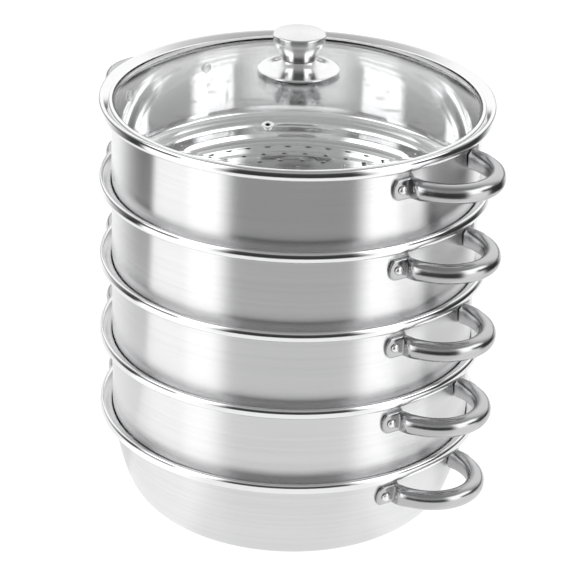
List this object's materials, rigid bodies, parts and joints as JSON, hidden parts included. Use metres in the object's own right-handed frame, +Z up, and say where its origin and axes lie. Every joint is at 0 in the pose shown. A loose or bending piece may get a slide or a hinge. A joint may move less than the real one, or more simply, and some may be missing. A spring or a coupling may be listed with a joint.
{
  "type": "steamer pot",
  "caption": "Round stacking steamer: a curved-bottom base pot, perforated steaming tiers with riveted loop handles and rolled rims, and a domed glass lid with a steel knob.",
  "frame": {"origin": "on the table, at the centre of the bounding box's bottom, which is on the vessels' axis", "axes": "+Z up along the vessels' axis, +X out through one row of side handles, +Y along those handles"},
  "size_m": [0.3692, 0.3, 0.3849],
  "materials": {
    "vessel_steel": "satin brushed stainless steel, the brushing running round the walls",
    "polished_steel": "mirror polished stainless steel",
    "lid_glass": "clear tempered glass",
    "seal_rubber": "matt black silicone rubber"
  },
  "bodies": {
    "pot": {"pot_body": "vessel_steel", "pot_handle_right": "polished_steel", "pot_handle_left": "polished_steel", "pot_rivet_right_front": "polished_steel", "pot_rivet_right_rear": "polished_steel", "pot_rivet_left_rear": "polished_steel", "pot_rivet_left_front": "polished_steel"},
    "tier_1": {"tier_1_body": "vessel_steel", "tier_1_handle_right": "polished_steel", "tier_1_handle_left": "polished_steel", "tier_1_rivet_right_front": "polished_steel", "tier_1_rivet_right_rear": "polished_steel", "tier_1_rivet_left_rear": "polished_steel", "tier_1_rivet_left_front": "polished_steel"},
    "tier_2": {"tier_2_body": "vessel_steel", "tier_2_handle_right": "polished_steel", "tier_2_handle_left": "polished_steel", "tier_2_rivet_right_front": "polished_steel", "tier_2_rivet_right_rear": "polished_steel", "tier_2_rivet_left_rear": "polished_steel", "tier_2_rivet_left_front": "polished_steel"},
    "tier_3": {"tier_3_body": "vessel_steel", "tier_3_handle_right": "polished_steel", "tier_3_handle_left": "polished_steel", "tier_3_rivet_right_front": "polished_steel", "tier_3_rivet_right_rear": "polished_steel", "tier_3_rivet_left_rear": "polished_steel", "tier_3_rivet_left_front": "polished_steel"},
    "tier_4": {"tier_4_body": "vessel_steel", "tier_4_handle_right": "polished_steel", "tier_4_handle_left": "polished_steel", "tier_4_rivet_right_front": "polished_steel", "tier_4_rivet_right_rear": "polished_steel", "tier_4_rivet_left_rear": "polished_steel", "tier_4_rivet_left_front": "polished_steel"},
    "lid": {"lid_glass": "lid_glass", "lid_band": "polished_steel", "lid_vent_eyelet": "polished_steel", "knob": "polished_steel", "knob_plate": "polished_steel", "knob_washer_upper": "seal_rubber", "knob_washer_lower": "seal_rubber", "knob_clamp_cup": "polished_steel", "knob_screw": "polished_steel"}
  },
  "joints": [
    {"name": "tier_1_lift", "type": "slide", "parent": "pot", "child": "tier_1", "axis": [0, 0, 1], "range_m": [0, 0.08]},
    {"name": "tier_2_lift", "type": "slide", "parent": "tier_1", "child": "tier_2", "axis": [0, 0, 1], "range_m": [0, 0.08]},
    {"name": "tier_3_lift", "type": "slide", "parent": "tier_2", "child": "tier_3", "axis": [0, 0, 1], "range_m": [0, 0.08]},
    {"name": "tier_4_lift", "type": "slide", "parent": "tier_3", "child": "tier_4", "axis": [0, 0, 1], "range_m": [0, 0.08]},
    {"name": "lid_lift", "type": "slide", "parent": "tier_4", "child": "lid", "axis": [0, 0, 1], "range_m": [0, 0.08]}
  ]
}
